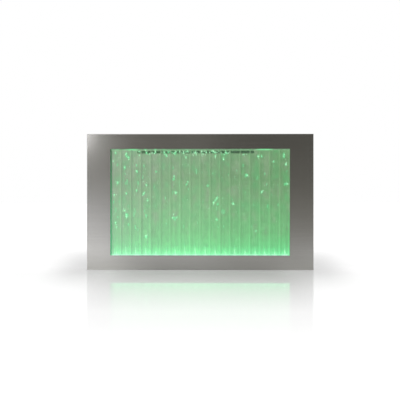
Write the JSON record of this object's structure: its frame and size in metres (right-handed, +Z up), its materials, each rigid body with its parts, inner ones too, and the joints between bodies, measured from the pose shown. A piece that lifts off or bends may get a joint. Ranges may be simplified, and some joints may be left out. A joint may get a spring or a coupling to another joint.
{
  "type": "bubble wall panel",
  "caption": "Flat wall panel with a brushed metal frame round a lit water tank whose upright channels fill with rising air bubbles.",
  "frame": {"origin": "middle of the panel's box, on the surface that it stands on", "axes": "+X along the panel to the right seen from the front, +Y back to the wall, +Z up"},
  "size_m": [1, 0.104, 0.6],
  "materials": {
    "brushed_steel": "brushed stainless steel, satin",
    "plated_steel": "zinc plated sheet",
    "clear_acrylic": "clear polished acrylic",
    "frosted_sheet": "frosted, lit green from below",
    "aluminium": "extruded, plain",
    "black_rubber": "matte rubber",
    "black_plastic": "moulded, fine grain",
    "grey_plastic": "moulded",
    "circuit_board": "white board with lamps",
    "clear_hose": "clear soft hose",
    "brass": "turned brass"
  },
  "bodies": {
    "panel": {"front_casing": "brushed_steel", "back_cover": "plated_steel", "tank_cradle": "plated_steel", "hanger_rail": "plated_steel", "pump_motor": "plated_steel", "window_gasket": "black_rubber", "bumper_left": "black_rubber", "bumper_right": "black_rubber", "pump_mount": "black_rubber", "pump_diaphragm": "black_rubber", "supply_cable": "black_rubber", "pump_cable": "black_rubber", "lamp_cable": "black_rubber", "tank_front_pane": "clear_acrylic", "tank_back_pane": "frosted_sheet", "tank_left_wall": "clear_acrylic", "tank_right_wall": "clear_acrylic", "tank_top_bar": "clear_acrylic", "tank_bottom_bar": "clear_acrylic", "air_bar": "clear_acrylic", "backing_sheet": "frosted_sheet", "air_hose": "clear_hose", "lamp_profile": "aluminium", "lamp_strip": "circuit_board", "service_tray": "black_plastic", "power_inlet": "black_plastic", "pump_cover": "black_plastic", "fill_trough": "grey_plastic", "check_valve": "grey_plastic", "pump_base": "grey_plastic", "lamp_driver": "grey_plastic", "air_valve": "brass", "drain_valve": "brass", "channel_divider_01": "clear_acrylic", "channel_divider_02": "clear_acrylic", "channel_divider_03": "clear_acrylic", "channel_divider_04": "clear_acrylic", "channel_divider_05": "clear_acrylic", "channel_divider_06": "clear_acrylic", "channel_divider_07": "clear_acrylic", "channel_divider_08": "clear_acrylic", "channel_divider_09": "clear_acrylic", "channel_divider_10": "clear_acrylic", "channel_divider_11": "clear_acrylic", "channel_divider_12": "clear_acrylic", "channel_divider_13": "clear_acrylic", "channel_divider_14": "clear_acrylic", "channel_divider_15": "clear_acrylic", "channel_divider_16": "clear_acrylic", "channel_divider_17": "clear_acrylic", "cover_screw_1": "plated_steel", "cover_screw_2": "plated_steel", "cover_screw_3": "plated_steel", "cover_screw_4": "plated_steel"},
    "lid": {"fill_lid": "brushed_steel"},
    "rocker": {"rocker_switch": "black_plastic"},
    "knob": {"air_knob": "black_plastic"},
    "lever": {"drain_lever": "grey_plastic"},
    "rail": {"wall_rail": "plated_steel"},
    "arm": {"pump_arm": "plated_steel"}
  },
  "joints": [
    {"name": "lid_lift", "type": "slide", "parent": "panel", "child": "lid", "axis": [0, 0, 1], "range_m": [0, 0.03]},
    {"name": "rocker_tilt", "type": "hinge", "parent": "panel", "child": "rocker", "pos_m": [-0.432, 0.01, 0.0218], "axis": [1, 0, 0], "range_deg": [-16, 0]},
    {"name": "knob_turn", "type": "hinge", "parent": "panel", "child": "knob", "pos_m": [-0.4265, -0.0226, 0.018], "axis": [0, 0, -1], "range_deg": [0, 270]},
    {"name": "drain_lever_turn", "type": "hinge", "parent": "panel", "child": "lever", "pos_m": [0.427, -0.0226, 0.0313], "axis": [0, 0, -1], "range_deg": [0, 90]},
    {"name": "wall_rail_slide", "type": "slide", "parent": "panel", "child": "rail", "axis": [0, 0, -1], "range_m": [0, 0.022]},
    {"name": "pump_arm_swing", "type": "hinge", "parent": "panel", "child": "arm", "pos_m": [-0.4606, -0.005, 0.45], "axis": [0, 1, 0], "range_deg": [-1.5, 1.5]}
  ]
}
